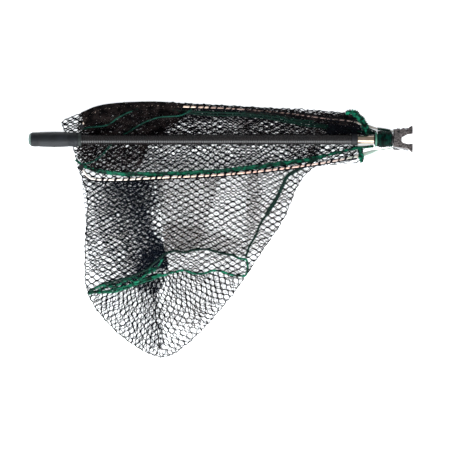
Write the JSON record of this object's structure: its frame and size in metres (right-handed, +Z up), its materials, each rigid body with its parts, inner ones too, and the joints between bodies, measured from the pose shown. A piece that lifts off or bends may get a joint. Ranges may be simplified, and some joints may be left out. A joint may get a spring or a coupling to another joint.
{
  "type": "folding landing net",
  "caption": "Folding landing net: telescopic handle with grip, forked head, two hinged hoop arms and a knotless net bag laced with cord, folded flat.",
  "frame": {"origin": "middle of the folded object's footprint, on the surface it lies on", "axes": "+X along the handle from the grip's butt to the forked head, +Y across the handle away from the sack, +Z up"},
  "size_m": [0.706, 0.4698, 0.0345],
  "materials": {
    "grip_rubber": "matt black with fine rings",
    "cap_rubber": "matt grey-green",
    "black_tube": "black, finely ribbed, satin sheen",
    "black_plastic": "smooth satin black",
    "polished_tube": "polished, champagne tint",
    "cast_grey": "cast, fine grained",
    "steel": "bright",
    "dark_steel": "blackened",
    "nylon": "natural",
    "pale_green": "smooth",
    "arm_metal": "satin, warm tint",
    "green_cord": "laid cord, glossy fibres",
    "netting": "knotless hexagonal netting"
  },
  "bodies": {
    "handle": {"grip_sleeve": "grip_rubber", "grip_end_cap": "cap_rubber", "grip_collar": "cap_rubber", "outer_tube": "black_tube", "tube_butt_plug": "nylon", "tube_end_collar": "black_plastic", "front_guide_bush": "nylon"},
    "head": {"inner_tube": "polished_tube", "friction_bush": "nylon", "expander_plug": "nylon", "expander_screw": "steel", "head_socket": "black_plastic", "socket_lip_ring": "pale_green", "socket_cross_pin": "steel", "cord_whipping": "green_cord", "yoke": "cast_grey", "yoke_rivet_upper": "dark_steel", "yoke_rivet_lower": "dark_steel", "catch_spring_upper": "steel", "catch_spring_lower": "steel"},
    "hoop": {"hinge_pin": "steel", "hinge_knuckle_upper": "cast_grey", "hinge_knuckle_lower": "cast_grey", "arm_pivot_pin_upper": "steel", "arm_pivot_pin_lower": "steel", "net_lower_panel": "netting", "net_upper_panel": "netting", "net_side_seam": "netting", "front_cord": "green_cord", "upper_rim_cord": "green_cord", "lower_rim_cord": "green_cord", "ring_cord": "green_cord", "seam_cord": "green_cord"},
    "arm_upper": {"upper_arm": "arm_metal", "upper_tip_cap": "black_plastic", "upper_net_hem": "netting", "upper_binding": "green_cord"},
    "arm_lower": {"lower_arm": "arm_metal", "lower_tip_cap": "black_plastic", "lower_net_hem": "netting", "lower_binding": "green_cord"}
  },
  "joints": [
    {"name": "telescope", "type": "slide", "parent": "handle", "child": "head", "axis": [1, 0, 0], "range_m": [0, 0.3]},
    {"name": "hoop_flip", "type": "hinge", "parent": "head", "child": "hoop", "pos_m": [0.328, 0.16597, 0.0165], "axis": [0, -1, 0], "range_deg": [0, 180]},
    {"name": "lower_spread", "type": "hinge", "parent": "hoop", "child": "arm_lower", "pos_m": [0.3215, 0.15097, 0.0165], "axis": [0, 0, 1], "range_deg": [0, 20]},
    {"name": "upper_spread", "type": "hinge", "parent": "hoop", "child": "arm_upper", "pos_m": [0.3215, 0.18097, 0.0165], "axis": [0, 0, -1], "range_deg": [0, 20]}
  ],
  "couplings": [
    {"joint": "upper_spread", "follows": "lower_spread", "ratio": 1}
  ]
}
